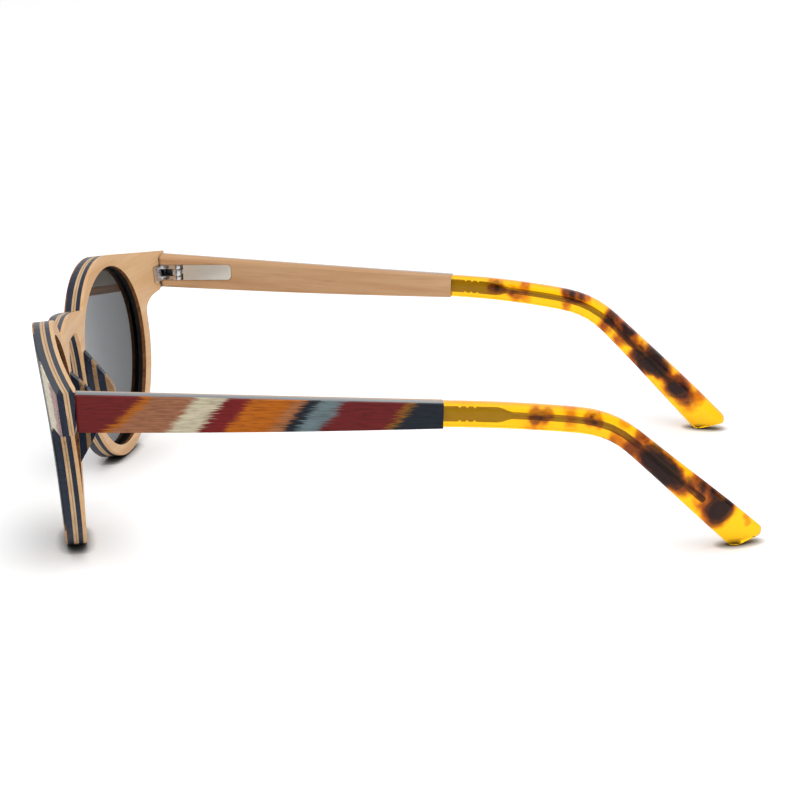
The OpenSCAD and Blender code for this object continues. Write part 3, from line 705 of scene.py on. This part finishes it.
def markRim(piece, look):  # how far each point looks up or down
    marks = piece.data.attributes.new("rim", "FLOAT", "POINT")
    for vert in piece.data.vertices:
        steep = max(0.0, 1.0 - look["rimSharp"] * abs(vert.normal.x))
        marks.data[vert.index].value = look["rimMost"] * steep


metalEdges = {
    "flat": 0.01,  # radians, faces that turn less are one
    "corner": 40.0, "round": 0.1, "steps": 2,
    "outward": 0.5,  # sides that look out into the seam take painted shade
}


def machined(node, look):
    mesh = copyOf(node)
    bmesh.ops.dissolve_limit(mesh, angle_limit=look["flat"], verts=mesh.verts, edges=mesh.edges)
    soften(mesh, cornerEdges(mesh, look["corner"]), look["round"], look["steps"])
    # faces looking out into the seam take the painted shade finish, the rest the metal
    for face in mesh.faces:
        outward = math.copysign(1.0, face.calc_center_median().x) * face.normal.x
        face.material_index = 1 if outward > look["outward"] else 0
    return mesh


for side in ("left_", "right_"):
    for kind in ("lens", "pad_base_navy", "pad_base_maple", "pad_top_navy", "pad_top_maple"):
        dress(side + kind, copyOf(side + kind))
    for kind in ("front_leaf", "pivot_screw", "plunger", "hinge_housing"):
        piece = dress(side + kind, machined(side + kind, metalEdges))
        piece.data.materials.append(finishes["paintedShadeBlack"])
    for kind in ("temple_veneer", "temple_navy", "temple_maple"):
        mesh = copyOf(side + kind)
        crown(mesh, templeLook)
        dress(side + kind, mesh)
    wire = side + "core_wire"
    dress(wire, copyOf(wire), smoothRound)
    markRim(dress(side + "tip", skinOf(side + "tip", wire, tipLook), smoothRound), tipLook)
print("sides dressed")

studio = {
    "floor": (250, 250, 250), "floorHalf": 6.0, "glow": 0.35,
    "sky": 0.62, "dark": 0.12,
    "floorFade": 4.0, "skyFade": 0.9,  # how fast mirrors lose the white towards +X
    "contact": 0.018, "touch": 0.0025, "shadeSamples": 8,  # reach of the shade under the piece, in metres
}
white = (1.0, 1.0, 1.0, 1.0)


def studioSeen(paint):  # rays that look straight at the studio or through glass, and those off mirrors
    path = paint.tree.nodes.new("ShaderNodeLightPath")
    names = ("Is Camera Ray", "Is Transmission Ray", "Is Glossy Ray")
    straight, through, mirror = [Wire(paint, path.outputs[name]) for name in names]
    return (straight + through).atMost(1.0), mirror


def paintedContactShadow(paint, reach):  # painted contact shadow: white where nothing stands within reach, darker close under the piece
    values = {"Color": white, "Distance": reach}
    shade = paint.add("ShaderNodeAmbientOcclusion", {"samples": studio["shadeSamples"]}, values, "Color")
    return paint.mix(1.0, shade, shade, "MULTIPLY")


floorMesh = bmesh.new()
bmesh.ops.create_grid(floorMesh, x_segments=1, y_segments=1, size=studio["floorHalf"])
floorData = bpy.data.meshes.new("floor")
floorMesh.to_mesh(floorData)
floorMesh.free()
floor = bpy.data.objects.new("floor", floorData)
bpy.context.scene.collection.objects.link(floor)
floorPaint = paintFor("floorWhite")
seen, mirror = studioSeen(floorPaint)
beyond = (middle - floorPaint.split(floorPaint.place(), "X") * studio["floorFade"]).within()
lit = (seen + mirror * beyond).atMost(1.0) * studio["glow"]
# the painted contact shadow darkens the floor's colour, and with a longer reach its glow
floorColourShadowed = floorPaint.mix(1.0, paintedContactShadow(floorPaint, studio["touch"]), tone(*studio["floor"]), "MULTIPLY")
floorPaint.surface(
    Base_Color=floorColourShadowed, Roughness=1.0, Specular_IOR_Level=0.0,
    Emission_Color=paintedContactShadow(floorPaint, studio["contact"]), Emission_Strength=lit,
)
floorData.materials.append(floorPaint.holder)

world = bpy.data.worlds.new("studio")
bpy.context.scene.world = world
worldPaint = Paint(world)
seen, mirror = studioSeen(worldPaint)  # to mirrors the studio is white beyond the piece and darker at +X
across = worldPaint.split(worldPaint.place(), "X")
beyond = (middle - across * studio["skyFade"]).atLeast(studio["dark"]).atMost(1.0)
strength = studio["sky"] + seen * (1.0 - studio["sky"]) + mirror * (beyond - studio["sky"])
sky = worldPaint.add("ShaderNodeBackground", {}, {"Color": white, "Strength": strength})
worldPaint.add("ShaderNodeOutputWorld", {}, {"Surface": sky})

lamps = {
    "keyBox": {"place": (0.25, 0.1, 0.9), "target": (0.0, 0.0, 0.0), "size": 0.9, "power": 3.2},
    "fillBox": {"place": (0.9, 0.2, 0.45), "target": (0.0, 0.0, 0.02), "size": 0.7, "power": 0.9},
}


def softBox(name, place, target, size, power):
    data = bpy.data.lights.new(name, "AREA")
    data.shape = "SQUARE"
    data.size = size
    data.energy = power
    lamp = bpy.data.objects.new(name, data)
    lamp.location = place
    lamp.rotation_euler = (Vector(target) - Vector(place)).to_track_quat("-Z", "Y").to_euler()
    bpy.context.scene.collection.objects.link(lamp)


for name, lamp in lamps.items():
    softBox(name, **lamp)

lensView = {
    "yaw": 2.554, "tilt": 15.078, "roll": -1.994,  # degrees
    "place": (534.2, 24.58, 164.51), "focal": 112.13, "sensor": 36.0,  # mm
}
yaw, tilt, roll = (math.radians(lensView[key]) for key in ("yaw", "tilt", "roll"))
towards = Vector((math.cos(tilt) * math.cos(yaw), math.cos(tilt) * math.sin(yaw), math.sin(tilt)))
right = Vector((-math.sin(yaw), math.cos(yaw), 0.0))
up = towards.cross(right)
turnedRight = math.cos(roll) * right + math.sin(roll) * up
turnedUp = math.cos(roll) * up - math.sin(roll) * right
cameraData = bpy.data.cameras.new("camera")
cameraData.sensor_width = lensView["sensor"]
cameraData.lens = lensView["focal"]
camera = bpy.data.objects.new("camera", cameraData)
turn = Matrix((turnedRight, turnedUp, towards)).transposed().to_4x4()
camera.matrix_world = Matrix.Translation(Vector(lensView["place"]) * mm) @ turn
bpy.context.scene.collection.objects.link(camera)
bpy.context.scene.camera = camera
bpy.context.scene.view_settings.view_transform = "Standard"
print("studio and camera set")
